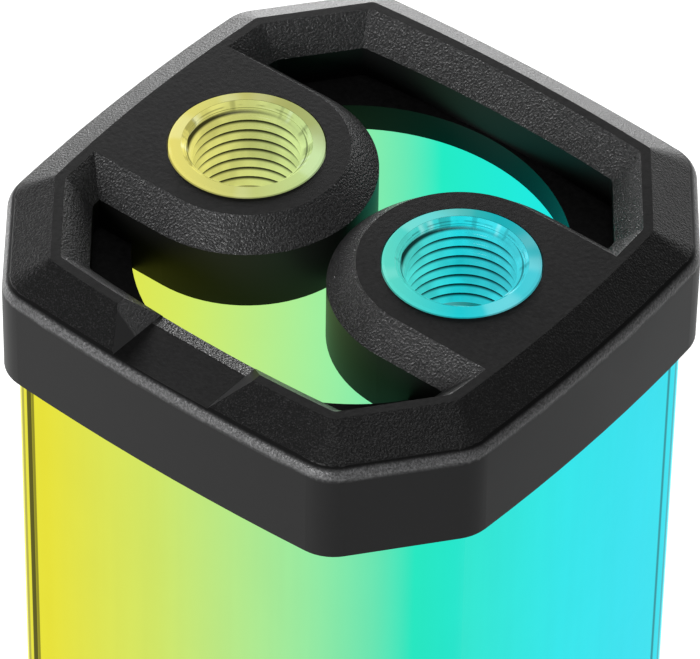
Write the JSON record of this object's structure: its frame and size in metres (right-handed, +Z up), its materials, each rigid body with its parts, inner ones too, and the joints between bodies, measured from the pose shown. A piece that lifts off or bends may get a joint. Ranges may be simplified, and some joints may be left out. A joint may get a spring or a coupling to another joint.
{
  "type": "coolant pump reservoir",
  "caption": "Clear coolant tank with bowed sides under a black bevelled cover with threaded filling ports, lit from below, on a base that holds a centrifugal pump.",
  "frame": {"origin": "centre of the footprint, on the floor under the rubber feet", "axes": "+Z up; -Y is the front, the side of the cover's small flat pad; the two filling ports lie along X"},
  "size_m": [0.0644, 0.0658, 0.176],
  "materials": {
    "black_plastic": "fine spark-eroded grain, smooth matt flats",
    "clear_acrylic": "clear moulded acrylic, edge lit",
    "black_acetal": "machined, satin",
    "stainless_steel": "turned",
    "seal_rubber": "smooth",
    "foot_rubber": "matt",
    "frosted_plastic": "frosted translucent",
    "lamp_white": "gloss",
    "circuit_board": "solder-resist gloss",
    "chip_black": "moulded",
    "die_cast_aluminium": "bead-blasted",
    "cup_plastic": "moulded, smooth",
    "stator_steel": "laminated",
    "copper_wire": "enamelled copper",
    "ceramic": "polished ceramic",
    "rotor_white": "moulded",
    "magnet_grey": "plastic-bonded magnet",
    "bush_graphite": "ground carbon"
  },
  "bodies": {
    "body": {"top_cover": "black_plastic", "port_lid": "clear_acrylic", "lid_seal": "seal_rubber", "lid_screws": "stainless_steel", "reservoir_tank": "clear_acrylic", "spout_seal": "seal_rubber", "light_diffuser": "frosted_plastic", "lights": "lamp_white", "light_board": "circuit_board", "pump_top": "black_acetal", "tank_screws": "stainless_steel", "pump_shroud": "black_plastic", "base_plate": "black_plastic", "base_screws": "stainless_steel", "rubber_feet": "foot_rubber", "cable_grommet": "foot_rubber", "motor_housing": "die_cast_aluminium", "pump_screws": "stainless_steel", "volute_seal": "seal_rubber", "separation_cup": "cup_plastic", "stator_core": "stator_steel", "stator_coils": "copper_wire", "control_board": "circuit_board", "board_parts": "chip_black", "bearing_shaft": "ceramic", "thrust_washer": "ceramic"},
    "rotor": {"impeller": "rotor_white", "rotor_magnet": "magnet_grey", "bearing_bush": "bush_graphite"}
  },
  "joints": [
    {"name": "impeller_spin", "type": "hinge", "parent": "body", "child": "rotor", "pos_m": [0, 0, 0.0275], "axis": [0, 0, 1], "continuous": true}
  ]
}
